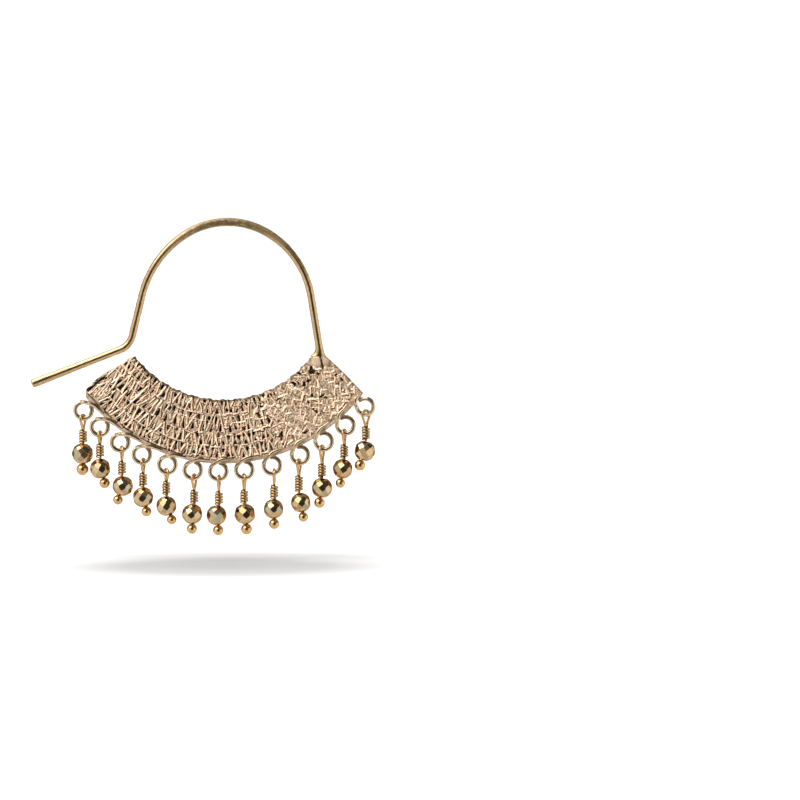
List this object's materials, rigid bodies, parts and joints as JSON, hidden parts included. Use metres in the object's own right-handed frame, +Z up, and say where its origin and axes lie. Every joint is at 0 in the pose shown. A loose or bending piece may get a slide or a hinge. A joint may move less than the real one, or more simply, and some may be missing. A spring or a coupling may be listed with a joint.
{
  "type": "dangle earring",
  "caption": "Crescent hoop earring: an arched ear wire with a long free tail, a relief-cast crescent plate, and faceted beads hung on wrapped head pins from a row of eyelets.",
  "frame": {"origin": "middle of the ear wire at the top of its arch, where it hangs in the ear lobe", "axes": "+X to the right as seen from the front, +Z up; the relief faces -Y; the free tail points to -X"},
  "size_m": [0.0517, 0.0034, 0.0477],
  "materials": {
    "plate_metal": "cast relief, rose-tinted antique gold with dark recesses",
    "ear_wire_metal": "drawn wire, satin antique gold",
    "pin_metal": "bright drawn wire, warm gold",
    "bead_stone": "polished facets with a metallic golden-grey lustre"
  },
  "bodies": {
    "root": {"hoop": "plate_metal", "head_pin_01": "pin_metal", "head_pin_02": "pin_metal", "head_pin_03": "pin_metal", "head_pin_04": "pin_metal", "head_pin_05": "pin_metal", "head_pin_06": "pin_metal", "head_pin_07": "pin_metal", "head_pin_08": "pin_metal", "head_pin_09": "pin_metal", "head_pin_10": "pin_metal", "head_pin_11": "pin_metal", "head_pin_12": "pin_metal", "head_pin_13": "pin_metal", "bead_01": "bead_stone", "bead_02": "bead_stone", "bead_03": "bead_stone", "bead_04": "bead_stone", "bead_05": "bead_stone", "bead_06": "bead_stone", "bead_07": "bead_stone", "bead_08": "bead_stone", "bead_09": "bead_stone", "bead_10": "bead_stone", "bead_11": "bead_stone", "bead_12": "bead_stone", "bead_13": "bead_stone"}
  },
  "joints": []
}
